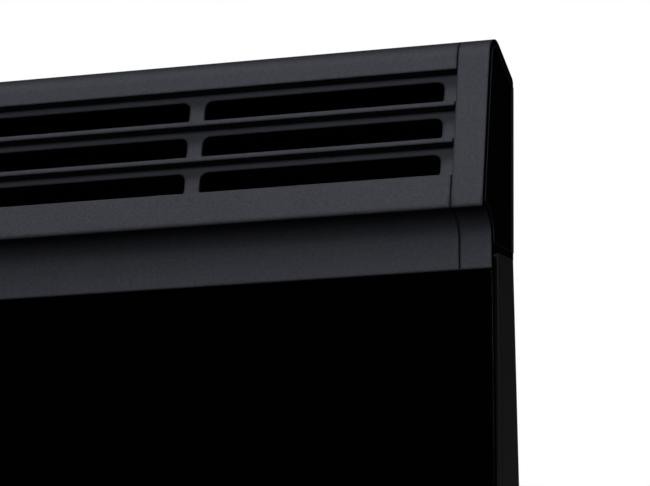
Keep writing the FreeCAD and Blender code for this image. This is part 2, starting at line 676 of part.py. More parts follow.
def thermal_cutout():
    arm_top = element_z + d.cutout_above
    cutout_x = (element_left + element_right) / 2 + d.cutout_offset
    low_x, high_x = cutout_x - d.cutout_arm_width / 2, cutout_x + d.cutout_arm_width / 2
    arm = block("cutout_arm_sheet", low_x, high_x, pan_inner_y, pan_inner_y + d.cutout_arm,
                arm_top - d.plate_thick, arm_top)
    foot = block("cutout_foot", low_x, high_x, pan_inner_y, pan_inner_y + d.plate_thick, arm_top,
                 arm_top + d.plate_foot)
    keep(fused("cutout_bracket_folded", arm, foot), "cutout_bracket")
    half = d.cutout_base_width / 2
    middle_y = pan_inner_y + d.cutout_arm - half
    base = block("cutout_base", low_x, high_x, middle_y - half, middle_y + half, arm_top,
                 arm_top + d.cutout_base_thick)
    top = arm_top + d.cutout_base_thick + d.cutout_body_rise
    can = rod("cutout_can", "Z", d.cutout_body_radius, d.cutout_body_rise, cutout_x, middle_y,
              arm_top + d.cutout_base_thick)
    tabs = [block("cutout_tab_%d" % n, cutout_x + d.tab_spacing * side - d.tab_thick / 2,
                  cutout_x + d.tab_spacing * side + d.tab_thick / 2, middle_y - d.tab_width / 2,
                  middle_y + d.tab_width / 2, top - d.tab_thick, top + d.tab_rise)
            for n, side in enumerate((-0.5, 0.5))]
    keep(fused("thermal_cutout_can", base, can, *tabs), "thermal_cutout")


def terminal_block():
    low_x = right_plate_x + d.plate_thick
    high_x = low_x + d.terminal_width
    low_y = pan_inner_y + d.plate_thick
    low_z = body_foot + d.terminal_rise
    tall = d.terminal_pole * d.terminal_poles
    base = block("terminal_base", low_x, high_x, low_y, low_y + d.terminal_depth, low_z, low_z + tall)
    cutters = []
    for n in range(int(d.terminal_poles.value)):
        middle = low_z + d.terminal_pole * (n + 0.5)
        mouth_x = high_x - d.terminal_step * 2
        half = d.terminal_mouth / 2
        cutters.append(block("terminal_mouth_%d" % n, mouth_x - half, mouth_x + half, low_y - d.overrun,
                             low_y + d.terminal_depth + d.overrun, middle - half, middle + half))
        if n:
            seam = low_z + d.terminal_pole * n
            cutters.append(block("terminal_seam_%d" % n, high_x - d.terminal_step, high_x + d.overrun,
                                 low_y - d.overrun, low_y + d.terminal_depth + d.overrun,
                                 seam - d.tab_thick, seam + d.tab_thick))
    return keep(cut("terminal_block_cut", base, *cutters), "terminal_block")


# Controls: a moulded fascia let into the right side, with a thermostat, a rocker switch and a lamp


def control_fascia():
    face = new_body("fascia_face")
    half_y, half_z = d.fascia_width / 2 - d.fascia_play, d.fascia_length / 2 - d.fascia_play
    corners = box_corners(control_y - half_y, control_y + half_y, control_z - half_z, control_z + half_z,
                          d.fascia_corner - d.fascia_play)
    pad(face, outline(face, "YZ_Plane", corners, z=fascia_back), half_width - fascia_back, both_ways=False)
    half_y, half_z = d.fascia_width / 2 + d.fascia_lip, d.fascia_length / 2 + d.fascia_lip
    lip = block("fascia_lip_plate", fascia_back, pan_inner_x, control_y - half_y, control_y + half_y,
                control_z - half_z, control_z + half_z)
    reach = half_width - fascia_back + d.overrun * 2
    start = fascia_back - d.overrun
    bush = rod("fascia_bush_hole", "X", d.bush_radius, reach, start, control_y, knob_z)
    lamp = rod("fascia_lamp_hole", "X", d.lens_radius, reach, start, control_y, lens_z)
    switch = block("fascia_switch_hole", start, start + reach, control_y - d.switch_wide / 2,
                   control_y + d.switch_wide / 2, switch_z - d.switch_tall / 2,
                   switch_z + d.switch_tall / 2)
    plates = fused("fascia_plates", face, lip)
    return keep(cut("control_fascia_cut", plates, bush, lamp, switch), "control_fascia")


def thermostat():
    at = (control_y, knob_z)
    case = block("thermostat_case", fascia_back - d.thermostat_deep, fascia_back,
                 at[0] - d.thermostat_wide / 2, at[0] + d.thermostat_wide / 2,
                 at[1] - d.thermostat_tall / 2, at[1] + d.thermostat_tall / 2)
    bush_end = half_width + d.bush_rise
    bush = rod("thermostat_bush", "X", d.bush_radius, bush_end - fascia_back, fascia_back, *at)
    shaft_start = fascia_back - d.shaft_inside
    bore = rod("thermostat_bore", "X", d.shaft_radius + d.shaft_play, bush_end - shaft_start + d.overrun,
               shaft_start - d.knob_gap, *at)
    keep(cut("thermostat_bored", fused("thermostat_case_bush", case, bush), bore), "thermostat_body")
    nut = hexagon("thermostat_nut_hex", d.nut_size, d.nut_thick)
    nut.Placement = FreeCAD.Placement(FreeCAD.Vector(), ALONG["X"])
    place(nut, half_width, *at)
    nut_bore = rod("thermostat_nut_bore", "X", d.bush_radius, d.nut_thick + d.overrun * 2,
                   half_width - d.overrun, *at)
    keep(cut("thermostat_nut_bored", nut, nut_bore), "thermostat_nut")
    knob_start = bush_end + d.knob_gap
    shaft_end = knob_start + d.shaft_in_knob
    bar = rod("thermostat_bar", "X", d.shaft_radius, shaft_end - shaft_start, shaft_start, *at)
    flat = block("thermostat_flat", knob_start, shaft_end + d.overrun, at[0] - d.shaft_radius,
                 at[0] + d.shaft_radius, at[1] - d.shaft_radius - d.overrun, at[1] - d.shaft_flat)
    shaft = keep(cut("thermostat_shaft_flatted", bar, flat), "thermostat_shaft")
    skirt = turned("knob_skirt_turned", [
        (ZERO, ZERO), (ZERO, d.knob_radius), (d.knob_skirt - d.knob_edge, d.knob_radius),
        (d.knob_skirt, d.knob_radius - d.knob_edge), (d.knob_skirt, ZERO)])
    bar_end = d.knob_radius - d.grip_bar_inset
    bar_outline = box_corners(-d.grip_bar_width / 2, d.grip_bar_width / 2, -bar_end, bar_end)
    pad(skirt, outline(skirt, "YZ_Plane", bar_outline), d.knob_tall, both_ways=False)
    mark = outline(skirt, "XZ_Plane", box_corners(d.knob_tall - d.pointer_sink, d.knob_tall + d.overrun,
                                                  d.pointer_start, d.knob_radius))
    pocket(skirt, mark, d.pointer_width)
    place(skirt, knob_start, *at)
    keep(cut("knob_bored", skirt, shaft), "thermostat_knob")


pivot_x = half_width - d.rocker_sink


def rocker_switch():
    mid_y, mid_z = control_y, switch_z
    body_box = block("switch_case", half_width - d.switch_deep, half_width, mid_y - d.switch_wide / 2,
                     mid_y + d.switch_wide / 2, mid_z - d.switch_tall / 2, mid_z + d.switch_tall / 2)
    bezel = block("switch_bezel", half_width, half_width + d.bezel_thick,
                  mid_y - d.switch_wide / 2 - d.bezel_margin, mid_y + d.switch_wide / 2 + d.bezel_margin,
                  mid_z - d.switch_tall / 2 - d.bezel_margin, mid_z + d.switch_tall / 2 + d.bezel_margin)
    face = half_width + d.bezel_thick
    cavity_half = d.rocker_wide / 2 + d.rocker_play
    cavity = block("switch_cavity", face - d.cavity_deep, face + d.overrun, mid_y - cavity_half,
                   mid_y + cavity_half, mid_z - d.rocker_cavity, mid_z + d.rocker_cavity)
    pin_half = cavity_half + d.trunnion_reach
    sockets = rod("switch_sockets", "Y", d.trunnion_radius + d.trunnion_play,
                  pin_half * 2 + d.rocker_play * 2, pivot_x, mid_y - pin_half - d.rocker_play, mid_z)
    keep(cut("switch_body_cut", fused("switch_case_bezel", body_box, bezel), cavity, sockets), "switch_body")
    rocker = new_body("rocker_turned")
    ends = d.rocker_swing + d.overrun
    profile = [(-d.rocker_below, -ends), (-d.rocker_below, ends), (d.rocker_end, ends), (d.rocker_dip, ZERO),
               (d.rocker_end, -ends)]
    sketch = outline(rocker, "XZ_Plane", profile)
    pad(rocker, sketch, d.rocker_wide)
    swing = rod("rocker_swing_round", "Y", d.rocker_swing, d.rocker_wide, ZERO, -d.rocker_wide / 2, ZERO)
    trimmed = doc.addObject("Part::Common", "rocker_trimmed")
    trimmed.Base = rocker
    trimmed.Tool = swing
    pin = rod("rocker_pin", "Y", d.trunnion_radius, pin_half * 2, ZERO, -pin_half, ZERO)
    tipped = fused("rocker_tipped", trimmed, pin)
    tipped.Placement = FreeCAD.Placement(FreeCAD.Vector(), FreeCAD.Rotation(FreeCAD.Vector(0, 1, 0), 1))
    bind(tipped, Placement__Rotation__Angle=d.rocker_rest)
    keep(place(tipped, pivot_x, mid_y, mid_z), "switch_rocker")


def indicator_lens():
    lens = turned("lens_turned", [
        (-d.lens_length, ZERO), (-d.lens_length, d.lens_radius), (ZERO, d.lens_radius), (ZERO, d.lens_collar),
        (d.lens_rise, d.lens_radius), (d.lens_rise, ZERO)])
    return keep(place(lens, half_width, control_y, lens_z), "indicator_lens")


# Cord inlet: a gland through the bottom, with its nut inside


def cable_gland():
    reach = d.gland_collar_thick + d.gland_nose
    stem = rod("gland_stem", "Z", d.gland_barrel, d.gland_inside + reach, gland_x, gland_y, body_foot - reach)
    collar = hexagon("gland_collar_hex", d.gland_collar_size, d.gland_collar_thick)
    place(collar, gland_x, gland_y, body_foot - d.gland_collar_thick)
    cord_bore = rod("gland_cord_bore", "Z", d.gland_bore, d.gland_inside + reach + d.overrun * 2,
                    gland_x, gland_y, body_foot - reach - d.overrun)
    keep(cut("cable_gland_bored", fused("cable_gland_body", stem, collar), cord_bore), "cable_gland")
    floor = body_foot + d.pan_sheet
    nut = place(hexagon("gland_nut_hex", d.gland_nut_size, d.gland_nut_thick), gland_x, gland_y, floor)
    bore = rod("gland_nut_bore", "Z", d.gland_barrel, d.gland_nut_thick + d.overrun * 2, gland_x, gland_y,
               floor - d.overrun)
    keep(cut("gland_nut_bored", nut, bore), "gland_nut")


# Wall bracket: two folded legs with hooks, joined by a rail, and a catch that slides in the top of each leg

leg_inner = d.leg_width - d.leg_sheet * 2
catch_middle = (d.catch_low + d.catch_high) / 2


def leg_places():
    return [-d.screw_span_x / 2, d.screw_span_x / 2]


def leg_front(height):
    return back_y(height) + d.leg_play


def rib_front():
    return leg_front(d.catch_high) + d.leg_play


def wall_bracket_leg(label, x):
    body = new_body(label + "_fold")
    top, foot = d.leg_rise, hook_low - d.leg_tail
    inside = back_y(hook_z) - d.cover_sheet - d.hook_play
    nose = inside - d.hook_nose_thick
    side = [(ZERO, foot), (ZERO, top), (leg_front(top), top), (leg_front(hook_z), hook_z),
            (inside, hook_z), (inside, hook_z + d.hook_nose), (nose, hook_z + d.hook_nose),
            (nose, hook_low), (leg_front(hook_low), hook_low), (leg_front(foot), foot)]
    pad(body, outline(body, "YZ_Plane", side), d.leg_width)
    open_front = leg_front(top) - leg_front(hook_z) + nose - d.overrun
    hollow = box_corners(open_front, -d.leg_sheet, foot - d.overrun, top + d.overrun)
    pocket(body, outline(body, "YZ_Plane", hollow), leg_inner)
    track = outline(body, "YZ_Plane", box_corners(
        rib_front() - d.catch_play, rib_front() + d.rib_depth + d.catch_play,
        catch_middle - d.rib_tall / 2 - d.catch_travel - d.catch_play,
        catch_middle + d.rib_tall / 2 + d.catch_play))
    pocket(body, track, d.leg_width + d.overrun)
    place(body, x)
    holes = [rod("%s_screw_hole_%d" % (label, n), "Y", d.wall_hole, d.leg_sheet + d.overrun * 2, x,
                 -d.leg_sheet - d.overrun, d.screw_span_z * share) for n, share in enumerate((-0.5, 0.5))]
    return keep(cut(label + "_drilled", body, *holes), label)


def wall_bracket_rail():
    body = new_body("wall_bracket_rail")
    low, high = -d.rail_height / 2, d.rail_height / 2
    wall, reach = d.leg_sheet, d.rail_flange
    fold = [(ZERO, low), (ZERO, high), (-reach, high), (-reach, high - wall), (-wall, high - wall),
            (-wall, low + wall), (-reach, low + wall), (-reach, low)]
    pad(body, outline(body, "YZ_Plane", fold), d.screw_span_x - d.leg_width)
    return keep(body, "wall_bracket_rail")


def wall_catch(label, x):
    body = new_body(label + "_moulding")
    rear = -d.leg_sheet - d.catch_play
    front = rib_front()
    slide = [(rear, d.catch_low), (rear, d.catch_high), (front, d.catch_high), (front, d.catch_low)]
    pad(body, outline(body, "YZ_Plane", slide), leg_inner - d.catch_play * 2)
    wall = d.catch_wall
    hollow = box_corners(rear + d.overrun, front + wall, d.catch_low - d.overrun, d.catch_high - wall)
    pocket(body, outline(body, "YZ_Plane", hollow), leg_inner - d.catch_play * 2 - wall * 2)
    inside = back_y(d.catch_nose_high + d.catch_barb) - d.cover_sheet - d.catch_play * 2
    tip = inside - d.catch_barb_thick
    nose = [(front, d.catch_nose_low), (front, d.catch_nose_high), (inside, d.catch_nose_high),
            (inside, d.catch_nose_high + d.catch_barb), (tip, d.catch_nose_high), (tip, d.catch_nose_low)]
    pad(body, outline(body, "YZ_Plane", nose), d.catch_nose_width)
    rib = box_corners(front, front + d.rib_depth,
                      catch_middle - d.rib_tall / 2, catch_middle + d.rib_tall / 2)
    pad(body, outline(body, "YZ_Plane", rib), leg_inner + d.rib_reach * 2)
    stem = box_corners(rear - d.stem_thick, rear, d.catch_high, d.stem_top)
    pad(body, outline(body, "YZ_Plane", stem), d.stem_width)
    grip = box_corners(rear - d.grip_depth, rear, d.stem_top - d.grip_tall, d.stem_top)
    pad(body, outline(body, "YZ_Plane", grip), d.grip_width)
    return keep(place(body, x), label)


# Build every piece, check it and write it

outlet_grille()
end_caps()
front_glass()
glass_tape()
front_pan()
rear_cover()
cover_screws()
element()
end_plate("element_bracket_left", left_plate_x, -1, element_z - d.plate_reach)
end_plate("control_partition", right_plate_x, 1, body_foot + d.pan_sheet)
heat_shield()
thermal_cutout()
terminal_block()
control_fascia()
thermostat()
rocker_switch()
indicator_lens()
cable_gland()
wall_bracket_leg("wall_bracket_left", leg_places()[0])
wall_bracket_leg("wall_bracket_right", leg_places()[1])
wall_bracket_rail()
wall_catch("catch_left", leg_places()[0])
wall_catch("catch_right", leg_places()[1])
doc.recompute()

for thing in doc.Objects:
    if "Invalid" in thing.State or "Error" in thing.State:
        raise RuntimeError("%s did not build: %s" % (thing.Label, thing.State))
for node in nodes:
    if node.Shape.isNull() or not node.Shape.isValid():
        raise RuntimeError(node.Label + " has no sound shape")
os.makedirs("parts", exist_ok=True)
for node in nodes:
    node.Shape.exportStep("parts/%s.step" % node.Label)
    print(node.Label, len(node.Shape.Solids), "solids", round(node.Shape.Volume, 1), "cubic mm")
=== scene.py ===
# Dressed model of a wall-hung electric panel heater, piece by piece as it is put together.
import json
import math

import bpy
from mathutils import Matrix, Vector


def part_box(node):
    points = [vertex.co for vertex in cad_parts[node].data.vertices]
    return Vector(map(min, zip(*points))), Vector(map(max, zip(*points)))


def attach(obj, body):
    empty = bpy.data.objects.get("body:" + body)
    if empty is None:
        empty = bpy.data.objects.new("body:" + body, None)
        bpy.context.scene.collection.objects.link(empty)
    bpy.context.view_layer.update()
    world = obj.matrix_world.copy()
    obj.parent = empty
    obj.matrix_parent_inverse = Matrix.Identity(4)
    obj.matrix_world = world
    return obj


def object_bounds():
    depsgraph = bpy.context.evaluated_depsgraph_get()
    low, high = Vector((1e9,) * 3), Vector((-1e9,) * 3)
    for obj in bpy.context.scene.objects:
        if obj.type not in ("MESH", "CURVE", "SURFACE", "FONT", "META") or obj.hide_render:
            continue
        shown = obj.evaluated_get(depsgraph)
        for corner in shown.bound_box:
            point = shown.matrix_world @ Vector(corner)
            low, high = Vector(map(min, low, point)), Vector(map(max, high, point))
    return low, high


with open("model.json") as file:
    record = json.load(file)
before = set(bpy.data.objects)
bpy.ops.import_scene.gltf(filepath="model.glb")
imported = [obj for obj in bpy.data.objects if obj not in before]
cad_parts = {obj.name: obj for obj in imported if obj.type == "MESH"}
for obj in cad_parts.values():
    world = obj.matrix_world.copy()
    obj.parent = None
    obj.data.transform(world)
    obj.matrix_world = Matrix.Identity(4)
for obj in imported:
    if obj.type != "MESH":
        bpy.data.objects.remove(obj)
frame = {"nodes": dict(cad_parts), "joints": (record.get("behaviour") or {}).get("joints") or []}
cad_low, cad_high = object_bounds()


# Wall bracket: two legs and a cross rail folded from 2 mm steel sheet, stoved with a dark grey powder.
# Four wood screws hold it to the wall and the heater hangs on its hooks.

class Shade:
    """A shader socket that takes part in sums; node() adds any other kind of node to the same tree."""

    def __init__(self, tree, socket):
        self.tree = tree
        self.socket = socket

    def node(self, kind, settings=None, sockets=None, output=0):
        """Adds a node, sets it, and gives its sockets their values or links."""
        made = self.tree.nodes.new(kind)
        for name, value in (settings or {}).items():
            setattr(made, name, value)
        for name, value in (sockets or {}).items():
            if isinstance(value, Shade):
                self.tree.links.new(value.socket, made.inputs[name])
            else:
                made.inputs[name].default_value = value
        return Shade(self.tree, made.outputs[output])

    def maths(self, operation, first, second):
        return self.node("ShaderNodeMath", {"operation": operation}, {0: first, 1: second})

    def __add__(self, other):
        return self.maths("ADD", self, other)

    def __sub__(self, other):
        return self.maths("SUBTRACT", self, other)

    def __rsub__(self, other):
        return self.maths("SUBTRACT", other, self)

    def __mul__(self, other):
        return self.maths("MULTIPLY", self, other)

    def __or__(self, other):
        return self.maths("MAXIMUM", self, other)

    __radd__ = __add__
    __rmul__ = __mul__

    def above(self, edge, soft):
        """0 below the edge and 1 above it, with a soft step to either side."""
        return self.node("ShaderNodeMapRange", {"interpolation_type": "SMOOTHSTEP"},
                         {"Value": self, "From Min": edge - soft, "From Max": edge + soft})

    def between(self, low, high):
        """A number that goes from low to high as this value goes from 0 to 1."""
        return self * (high - low) + low

    def blend(self, low, high):
        """A colour that goes from low to high as this value goes from 0 to 1."""
        ends = [end if isinstance(end, Shade) else (*end, 1) for end in (low, high)]
        return self.node("ShaderNodeMix", {"data_type": "RGBA"}, {0: self, 6: ends[0], 7: ends[1]}, 2)

    def axis(self, name):
        return self.node("ShaderNodeSeparateXYZ", None, {"Vector": self}, name)

    def along(self, direction):
        """How far this vector reaches in a direction."""
        return self.node("ShaderNodeVectorMath", {"operation": "DOT_PRODUCT"},
                         {0: self, 1: direction}, "Value")

    def stretched(self, x, y, z):
        return self.node("ShaderNodeVectorMath", {"operation": "MULTIPLY"}, {0: self, 1: (x, y, z)})

    def noise(self, scale, detail=2.0, roughness=0.5):
        """Cloudy noise; scale counts its lumps to the metre."""
        return self.node("ShaderNodeTexNoise", None,
                         {"Vector": self, "Scale": scale, "Detail": detail, "Roughness": roughness})

    def cells(self, scale, output="Distance"):
        """A cellular pattern; scale counts its cells to the metre."""
        return self.node("ShaderNodeTexVoronoi", None, {"Vector": self, "Scale": scale}, output)


class Finish:
    """A material with its shader, its Object coordinates and an edge mask from a rounded normal."""

    def __init__(self, name, **constants):
        self.material = bpy.data.materials.new(name)
        self.material.use_nodes = True
        self.tree = self.material.node_tree
        self.shader = self.tree.nodes["Principled BSDF"]
        coordinates = self.tree.nodes.new("ShaderNodeTexCoord")
        self.place = Shade(self.tree, coordinates.outputs["Object"])
        self.facing = Shade(self.tree, coordinates.outputs["Normal"])
        for socket, value in constants.items():
            self.shader.inputs[socket.replace("_", " ")].default_value = value

    def feed(self, socket, shade):
        self.tree.links.new(shade.socket, self.shader.inputs[socket])

    def rounded(self, radius):
        """The normal as it would be with every edge rounded."""
        return self.place.node("ShaderNodeBevel", {"samples": 6}, {"Radius": radius})

    def edges(self, radius):
        """1 on sharp edges, 0 on flats."""
        flat = self.place.node("ShaderNodeNewGeometry", output="Normal")
        return (1 - self.rounded(radius).along(flat)).above(0.12, soft=0.1)

    def relief(self, height, strength, distance, radius):
        """Bump from a height, on a normal that rounds the edges."""
        self.feed("Normal", self.place.node("ShaderNodeBump", None, {
            "Height": height, "Strength": strength, "Distance": distance, "Normal": self.rounded(radius)}))

    def dress(self, *names):
        for name in names:
            frame["nodes"][name].material_slots[0].material = self.material


def powder_coat(name, colour, paler, roughness, speckle, peel):
    """Stoved powder paint: a fine orange peel, a faint mottle and slightly thinner paint on the edges."""
    finish = Finish(name)
    peel_height = finish.place.noise(speckle, detail=3.0, roughness=0.6)
    mottle = finish.place.noise(speckle / 9)
    tone = (mottle * 0.5 + peel_height * 0.5).above(0.5, soft=0.25)
    thin_paint = finish.edges(radius=0.0006)
    finish.feed("Base Color", (tone * 0.55 + thin_paint * 0.45).blend(colour, paler))
    finish.feed("Roughness", peel_height.between(roughness - 0.06, roughness + 0.06))
    finish.relief(peel_height, strength=peel, distance=0.00012, radius=0.0005)
    return finish


bracket_coat = powder_coat("bracket_coat", colour=(0.030, 0.031, 0.034), paler=(0.052, 0.053, 0.057),
                           roughness=0.5, speckle=1500, peel=0.35)
bracket_coat.dress("wall_bracket_left", "wall_bracket_right", "wall_bracket_rail")


# Catches: one glass-filled nylon moulding in the top of each leg, finely sparked, with ribs on its grip.
# A spring pushes it up so that its nose locks behind the rear cover; pulling the grip down frees the heater.

nylon = Finish("catch_nylon", IOR=1.53)
nylon_dark, nylon_pale = (0.016, 0.016, 0.017), (0.030, 0.030, 0.032)
nylon_grain = nylon.place.cells(2600)
nylon.feed("Base Color", nylon.place.noise(160).above(0.5, soft=0.2).blend(nylon_dark, nylon_pale))
nylon.feed("Roughness", nylon_grain.between(0.48, 0.68))
nylon.relief(nylon_grain, strength=0.3, distance=0.0001, radius=0.0004)
nylon.dress("catch_left", "catch_right")

smooth_under = math.radians(35)


def bar(name, centre, size, rounding):
    """A straight bar with rounded edges."""
    bpy.ops.object.select_all(action="DESELECT")
    bpy.ops.mesh.primitive_cube_add(size=1, location=centre, scale=size)
    piece = bpy.context.object
    piece.name = name
    bpy.ops.object.transform_apply(location=True, rotation=True, scale=True)
    bpy.ops.object.mode_set(mode="EDIT")
    bpy.ops.mesh.select_all(action="SELECT")
    bpy.ops.mesh.bevel(offset=rounding, segments=3, affect="EDGES")
    bpy.ops.object.mode_set(mode="OBJECT")
    bpy.ops.object.shade_smooth_by_angle(angle=smooth_under)
    return piece


def copied(piece, name, move):
    """A copy of a piece with a mesh of its own, moved by a matrix."""
    twin = piece.copy()
    twin.data = piece.data.copy()
    twin.name = name
    twin.data.transform(move)
    bpy.context.scene.collection.objects.link(twin)
    return twin


def fit(piece, finish, body):
    """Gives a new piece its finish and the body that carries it."""
    piece.data.materials.clear()
    piece.data.materials.append(finish.material)
    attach(piece, body)


rib_size, rib_round, rib_pitch = (0.020, 0.0009, 0.0010), 0.0003, 0.0022
crest_deep = 0.0001
for side in ("left", "right"):
    catch = "catch_" + side
    crest_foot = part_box(catch)[1].z - crest_deep
    crest = [corner.co for corner in frame["nodes"][catch].data.vertices if corner.co.z > crest_foot]
    grip_top = sum(crest, Vector()) / len(crest)
    ribs = [bar("grip_rib_%s_0" % side, grip_top, rib_size, rib_round)]
    for n in (-1, 1):
        shift = Matrix.Translation((0, rib_pitch * n, 0))
        ribs.append(copied(ribs[0], "grip_rib_%s_%d" % (side, n), shift))
    for rib in ribs:
        fit(rib, nylon, side + "_catch")


# Pan: the casing's tray, folded from 1 mm steel with rounded front bends and stoved in black powder.
# Air inlets are punched along its floor and the control fascia drops into its right side.

pan_coat = powder_coat("pan_coat", colour=(0.0042, 0.0042, 0.0044), paler=(0.0085, 0.0085, 0.0088),
                       roughness=0.42, speckle=1700, peel=0.2)
pan_coat.dress("front_pan")


# Element: an extruded aluminium fin on a steel-sheathed rod, carried by steatite sleeves in folded plates of
# aluminised steel. The extrusion keeps its die lines, and heat has tinted the sheath between its cold ends.

fins = Finish("element_aluminium", Metallic=1.0)
fin_dull, fin_bright = (0.62, 0.63, 0.65), (0.80, 0.81, 0.82)
die_lines = fins.place.stretched(4, 900, 900).noise(1.0, detail=3.0)
fins.feed("Base Color", die_lines.blend(fin_dull, fin_bright))
fins.feed("Roughness", die_lines.between(0.28, 0.48))
fins.relief(die_lines, strength=0.25, distance=0.00008, radius=0.0002)
fins.dress("element_fins")

sheath = Finish("sheath_steel", Metallic=1.0)
heat_tint, cold_steel = (0.34, 0.24, 0.16), (0.56, 0.55, 0.53)
tint_fade = 0.008
drawn = sheath.place.stretched(6, 700, 700).noise(1.0)
fin_low, fin_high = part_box("element_fins")
past_left = (0 - sheath.place.axis("X")).above(-fin_low.x, soft=tint_fade)
past_right = sheath.place.axis("X").above(fin_high.x, soft=tint_fade)
cold = past_left + past_right
sheath.feed("Base Color", (cold * 0.7 + drawn * 0.3).blend(heat_tint, cold_steel))
sheath.feed("Roughness", drawn.between(0.26, 0.46))
sheath.dress("element_rod")

steatite = Finish("steatite", IOR=1.6)
steatite_speck, steatite_cream = (0.55, 0.50, 0.42), (0.74, 0.71, 0.64)
speck = steatite.place.cells(1900)
steatite.feed("Base Color", speck.above(0.25, soft=0.2).blend(steatite_speck, steatite_cream))
steatite.feed("Roughness", speck.between(0.5, 0.75))
steatite.relief(steatite.place.noise(1400), strength=0.3, distance=0.0001, radius=0.0003)
steatite.dress("element_insulator_left", "element_insulator_right")

bright = Finish("bright_sheet", Metallic=1.0)
sheet_dull, sheet_bright = (0.50, 0.51, 0.53), (0.70, 0.71, 0.72)
spangle = bright.place.cells(140, "Color")
grain = bright.place.noise(900, detail=3.0)
bright.feed("Base Color", (spangle.axis("X") * 0.6 + grain * 0.4).blend(sheet_dull, sheet_bright))
bright.feed("Roughness", spangle.axis("Y").between(0.28, 0.44))
bright.relief(grain, strength=0.12, distance=0.0001, radius=0.0002)
bright.dress("element_bracket_left", "control_partition", "heat_shield", "cutout_bracket")


# Thermal cutout and terminal block: a bakelite disc thermostat with plated tabs on the element's bracket,
# and a three-pole polyamide block beside the partition, where the supply leads end.

cutout = Finish("cutout_case")
bakelite, tab_plate = (0.020, 0.014, 0.011), (0.62, 0.60, 0.55)
tab_long = 0.008
tab_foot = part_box("thermal_cutout")[1].z - tab_long
tabs = cutout.place.axis("Z").above(tab_foot, soft=0.0002)
pressed = cutout.place.noise(1100, detail=3.0)
cutout.feed("Base Color", (tabs * 0.85 + pressed * 0.15).blend(bakelite, tab_plate))
cutout.feed("Metallic", tabs)
cutout.feed("Roughness", pressed.between(0.3, 0.5))
cutout.dress("thermal_cutout")

block_white = Finish("terminal_plastic", IOR=1.53)
block_dull, block_pale = (0.60, 0.58, 0.52), (0.72, 0.70, 0.64)
flow = block_white.place.noise(500)
block_white.feed("Base Color", flow.blend(block_dull, block_pale))
block_white.feed("Roughness", flow.between(0.38, 0.58))
block_white.relief(block_white.place.noise(2200), strength=0.15, distance=0.00008, radius=0.0003)
block_white.dress("terminal_block")


# Control fascia: a black ABS plate with a spark-eroded grain that snaps into the side of the pan.
# It carries the thermostat, the switch and the lamp; a white dial scale is pad-printed round the knob.

def moulded(name, dark, pale, roughness, grain_scale, depth):
    """Injection-moulded plastic: a cellular grain and a faint change of tone."""
    finish = Finish(name, IOR=1.52)
    cell = finish.place.cells(grain_scale)
    tone = finish.place.noise(grain_scale / 12)
    finish.feed("Base Color", (tone * 0.7 + cell * 0.3).above(0.5, soft=0.3).blend(dark, pale))
    finish.feed("Roughness", cell.between(roughness - 0.06, roughness + 0.12))
    finish.relief(cell, strength=depth, distance=0.00008, radius=0.0003)
    return finish


fascia_black = moulded("control_plastic", dark=(0.010, 0.010, 0.011), pale=(0.020, 0.020, 0.021),
                       roughness=0.45, grain_scale=3200, depth=0.3)
fascia_black.dress("control_fascia", "thermostat_body")

ink = Finish("dial_ink")
ink_thin, ink_full = (0.52, 0.52, 0.51), (0.78, 0.78, 0.76)
ink_film = ink.place.noise(5200, detail=3.0)
ink.feed("Base Color", ink_film.above(0.42, soft=0.2).blend(ink_thin, ink_full))
ink.feed("Roughness", ink_film.between(0.42, 0.62))

print_thick, print_bolder = 0.00005, 0.006
# Turns what lies flat at the origin to face right, as the fascia does.
on_side = Matrix(((0, 0, 1), (1, 0, 0), (0, 1, 0))).to_4x4()


def printed(name, words, height):
    """A character as a thin printed film, lying flat at the origin."""
    bpy.ops.object.select_all(action="DESELECT")
    bpy.ops.object.text_add()
    letter = bpy.context.object
    letter.name = name
    letter.data.body = words
    letter.data.size = height
    letter.data.align_x = "CENTER"
    letter.data.align_y = "CENTER"
    letter.data.extrude = print_thick
    letter.data.offset = height * print_bolder
    bpy.ops.object.convert(target="MESH")
    bpy.ops.object.mode_set(mode="EDIT")
    bpy.ops.mesh.select_all(action="SELECT")
    bpy.ops.mesh.remove_doubles(threshold=print_thick / 100)
    bpy.ops.mesh.normals_make_consistent(inside=False)
    bpy.ops.object.mode_set(mode="OBJECT")
    return letter


dial_turn = next(joint for joint in frame["joints"] if joint["name"] == "thermostat_turn")
dial_centre = Vector((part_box("control_fascia")[1].x, *dial_turn["pos_m"][1:]))
dial_steps = 6
dial_sweep = math.radians(dial_turn["range_deg"][1])
numeral_ring, numeral_high = 0.0088, 0.0024
for step in range(dial_steps + 1):
    numeral = printed("dial_numeral_%d" % step, str(step), numeral_high)
    angle = dial_sweep * step / dial_steps
    offset = Vector((0, math.sin(angle), math.cos(angle))) * numeral_ring
    numeral.data.transform(Matrix.Translation(dial_centre + offset) @ on_side)
    fit(numeral, ink, "heater")

tick_ring, tick_size, tick_round = 0.0073, (print_thick * 2, 0.0003, 0.0007), 0.00002
first_tick = bar("dial_tick_0", dial_centre + Vector((0, 0, tick_ring)), tick_size, tick_round)
fit(first_tick, ink, "heater")
for n in range(1, dial_steps * 2 + 1):
    to_angle = Matrix.Rotation(-dial_sweep * n / (dial_steps * 2), 4, "X")
    swing = Matrix.Translation(dial_centre) @ to_angle @ Matrix.Translation(-dial_centre)
    fit(copied(first_tick, "dial_tick_%d" % n, swing), ink, "heater")


# Thermostat fixing: a brass nut clamps the bush to the fascia and a flatted brass shaft carries the knob.
# Both are turned parts, so their marks run round the shaft.

brass = Finish("nut_brass", Metallic=1.0)
brass_dull, brass_bright = (0.55, 0.40, 0.17), (0.72, 0.56, 0.28)
turning = brass.place.stretched(4000, 60, 60).noise(1.0)
brass.feed("Base Color", turning.blend(brass_dull, brass_bright))
brass.feed("Roughness", turning.between(0.22, 0.42))
brass.dress("thermostat_nut", "thermostat_shaft")


